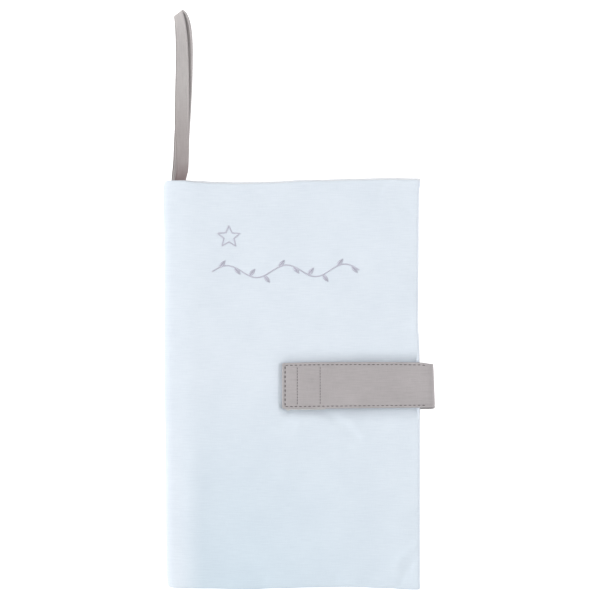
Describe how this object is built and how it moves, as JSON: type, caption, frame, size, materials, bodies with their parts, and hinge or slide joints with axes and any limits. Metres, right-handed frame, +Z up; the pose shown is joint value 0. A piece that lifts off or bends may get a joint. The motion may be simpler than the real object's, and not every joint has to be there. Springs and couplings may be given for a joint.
{
  "type": "changing pad",
  "caption": "Padded cloth mat that folds like a book, closed by a strap that wraps its edge and holds with hook-and-loop tape, with a cloth carry loop in its top seam.",
  "frame": {"origin": "centre of the folded pad's flat underside, on the surface that it lies on", "axes": "+X from the fold to the edge that the strap wraps, +Y to the seam with the carry loop, +Z up out of the closed pad"},
  "size_m": [0.2636, 0.5725, 0.021],
  "materials": {
    "pad_cotton": "fine plain-weave cotton, matt, pale blue",
    "lining_cotton": "fine plain-weave cotton, matt, near white",
    "wadding": "soft white polyester wadding",
    "strap_cotton": "plain-weave cotton, matt, warm grey",
    "hook_tape": "stiff woven tape with hooks",
    "loop_tape": "woven tape with soft loops",
    "thread": "grey sewing thread, slight sheen",
    "embroidery_thread": "grey-mauve embroidery thread, satin sheen"
  },
  "bodies": {
    "back_panel": {"back_cover": "pad_cotton", "back_wadding": "wadding", "back_lining": "lining_cotton", "strap_rear_leg": "strap_cotton", "strap_anchor_seam": "thread"},
    "spine": {"spine_cover": "pad_cotton", "spine_wadding": "wadding", "spine_lining": "lining_cotton"},
    "front_panel": {"front_cover": "pad_cotton", "front_wadding": "wadding", "front_lining": "lining_cotton", "loop_tape": "loop_tape", "loop_tape_seam": "thread", "sprig_embroidery": "embroidery_thread", "star_embroidery": "embroidery_thread"},
    "strap_bend": {"strap_bend": "strap_cotton"},
    "strap_flap": {"strap_flap": "strap_cotton", "hook_tape": "hook_tape", "hook_tape_seam_outer": "thread", "hook_tape_seam_inner": "thread", "strap_edge_seam": "thread"},
    "carry_loop": {"carry_loop": "strap_cotton"}
  },
  "joints": [
    {"name": "fold_at_back", "type": "hinge", "parent": "back_panel", "child": "spine", "pos_m": [-0.12365, 0, 0.0015], "axis": [0, -1, 0], "range_deg": [0, 90]},
    {"name": "fold_at_front", "type": "hinge", "parent": "spine", "child": "front_panel", "pos_m": [-0.12365, 0, 0.016], "axis": [0, -1, 0], "range_deg": [0, 90]},
    {"name": "strap_lower_turn", "type": "hinge", "parent": "back_panel", "child": "strap_bend", "pos_m": [0.13755, -0.0015, 0.0019], "axis": [0, 1, 0], "range_deg": [0, 90], "deforming": ["strap_bend"]},
    {"name": "strap_upper_turn", "type": "hinge", "parent": "strap_bend", "child": "strap_flap", "pos_m": [0.13755, -0.0015, 0.0193], "axis": [0, 1, 0], "range_deg": [0, 90], "deforming": ["strap_flap", "hook_tape", "hook_tape_seam_outer", "hook_tape_seam_inner", "strap_edge_seam"]},
    {"name": "carry_loop_swing", "type": "hinge", "parent": "back_panel", "child": "carry_loop", "pos_m": [-0.11215, 0.20415, 0.0042], "axis": [1, 0, 0], "range_deg": [-85, 80]}
  ]
}
